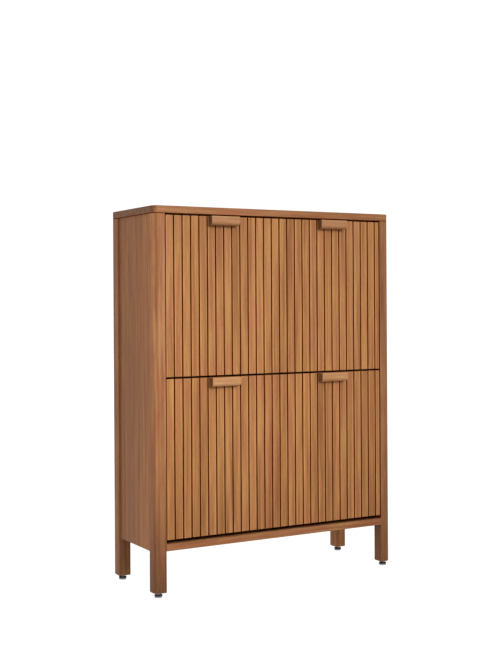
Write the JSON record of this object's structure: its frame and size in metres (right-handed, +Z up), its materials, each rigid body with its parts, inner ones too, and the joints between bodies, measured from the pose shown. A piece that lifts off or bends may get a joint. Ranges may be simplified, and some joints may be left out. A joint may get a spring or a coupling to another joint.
{
  "type": "shoe cabinet",
  "caption": "Tall wooden shoe cabinet on legs, with slatted tilt-out fronts that carry sloping shoe racks, wooden pulls and levelling feet.",
  "frame": {"origin": "on the floor under the middle of the whole object, pulls included", "axes": "+X to the right seen from the front, +Y from the front to the back, +Z up"},
  "size_m": [0.85, 0.3236, 1.15],
  "materials": {
    "frame_wood": "satin lacquer on warm brown wood",
    "panel_wood": "satin lacquer on warm brown wood",
    "slat_wood": "satin lacquer, tone varies from slat to slat",
    "pull_wood": "satin lacquer on lighter golden wood",
    "plywood": "clear lacquer on pale plywood",
    "bright_steel": "zinc plated",
    "dark_steel": "fine black powder coat",
    "brown_plastic": "moulded",
    "grey_plastic": "moulded"
  },
  "bodies": {
    "root": {"top_panel": "frame_wood", "post_front_left": "frame_wood", "post_front_right": "frame_wood", "post_back_left": "frame_wood", "post_back_right": "frame_wood", "side_panel_left": "panel_wood", "side_panel_right": "panel_wood", "back_panel": "plywood", "bottom_panel": "panel_wood", "middle_shelf": "panel_wood", "front_rail": "frame_wood", "hanging_rail": "panel_wood", "assembly_dowels": "plywood", "back_panel_screws": "bright_steel", "pivot_bushes": "brown_plastic", "stop_pins": "bright_steel", "catch_housings": "brown_plastic", "catch_magnets": "dark_steel", "catch_screws": "bright_steel", "leg_inserts": "bright_steel"},
    "upper_front": {"upper_board": "panel_wood", "upper_slats": "slat_wood", "upper_pull_left": "pull_wood", "upper_pull_right": "pull_wood", "upper_pull_screws": "bright_steel", "upper_rack_plate_left": "dark_steel", "upper_rack_plate_right": "dark_steel", "upper_tier_low": "plywood", "upper_tier_high": "plywood", "upper_rack_screws": "bright_steel", "upper_pivot_pins": "bright_steel", "upper_strike_plates": "bright_steel"},
    "lower_front": {"lower_board": "panel_wood", "lower_slats": "slat_wood", "lower_pull_left": "pull_wood", "lower_pull_right": "pull_wood", "lower_pull_screws": "bright_steel", "lower_rack_plate_left": "dark_steel", "lower_rack_plate_right": "dark_steel", "lower_tier_low": "plywood", "lower_tier_high": "plywood", "lower_rack_screws": "bright_steel", "lower_pivot_pins": "bright_steel", "lower_strike_plates": "bright_steel"},
    "foot_front_left": {"foot_pad_front_left": "dark_steel", "foot_sole_front_left": "grey_plastic"},
    "stem_front_left": {"foot_stem_front_left": "bright_steel"},
    "foot_front_right": {"foot_pad_front_right": "dark_steel", "foot_sole_front_right": "grey_plastic"},
    "stem_front_right": {"foot_stem_front_right": "bright_steel"},
    "foot_back_left": {"foot_pad_back_left": "dark_steel", "foot_sole_back_left": "grey_plastic"},
    "stem_back_left": {"foot_stem_back_left": "bright_steel"},
    "foot_back_right": {"foot_pad_back_right": "dark_steel", "foot_sole_back_right": "grey_plastic"},
    "stem_back_right": {"foot_stem_back_right": "bright_steel"}
  },
  "joints": [
    {"name": "upper_tilt", "type": "hinge", "parent": "root", "child": "upper_front", "pos_m": [0, -0.12325, 0.671], "axis": [1, 0, 0], "range_deg": [0, 48]},
    {"name": "lower_tilt", "type": "hinge", "parent": "root", "child": "lower_front", "pos_m": [0, -0.12325, 0.193], "axis": [1, 0, 0], "range_deg": [0, 48]},
    {"name": "level_front_left", "type": "slide", "parent": "root", "child": "foot_front_left", "axis": [0, 0, -1], "range_m": [0, 0.012]},
    {"name": "thread_front_left", "type": "hinge", "parent": "foot_front_left", "child": "stem_front_left", "pos_m": [-0.406, -0.11925, 0], "axis": [0, 0, -1], "range_deg": [0, 3460]},
    {"name": "level_front_right", "type": "slide", "parent": "root", "child": "foot_front_right", "axis": [0, 0, -1], "range_m": [0, 0.012]},
    {"name": "thread_front_right", "type": "hinge", "parent": "foot_front_right", "child": "stem_front_right", "pos_m": [0.406, -0.11925, 0], "axis": [0, 0, -1], "range_deg": [0, 3460]},
    {"name": "level_back_left", "type": "slide", "parent": "root", "child": "foot_back_left", "axis": [0, 0, -1], "range_m": [0, 0.012]},
    {"name": "thread_back_left", "type": "hinge", "parent": "foot_back_left", "child": "stem_back_left", "pos_m": [-0.406, 0.14275, 0], "axis": [0, 0, -1], "range_deg": [0, 3460]},
    {"name": "level_back_right", "type": "slide", "parent": "root", "child": "foot_back_right", "axis": [0, 0, -1], "range_m": [0, 0.012]},
    {"name": "thread_back_right", "type": "hinge", "parent": "foot_back_right", "child": "stem_back_right", "pos_m": [0.406, 0.14275, 0], "axis": [0, 0, -1], "range_deg": [0, 3460]}
  ],
  "couplings": [
    {"joint": "thread_front_left", "follows": "level_front_left", "rad_per_m": 5026.5},
    {"joint": "thread_front_right", "follows": "level_front_right", "rad_per_m": 5026.5},
    {"joint": "thread_back_left", "follows": "level_back_left", "rad_per_m": 5026.5},
    {"joint": "thread_back_right", "follows": "level_back_right", "rad_per_m": 5026.5}
  ]
}
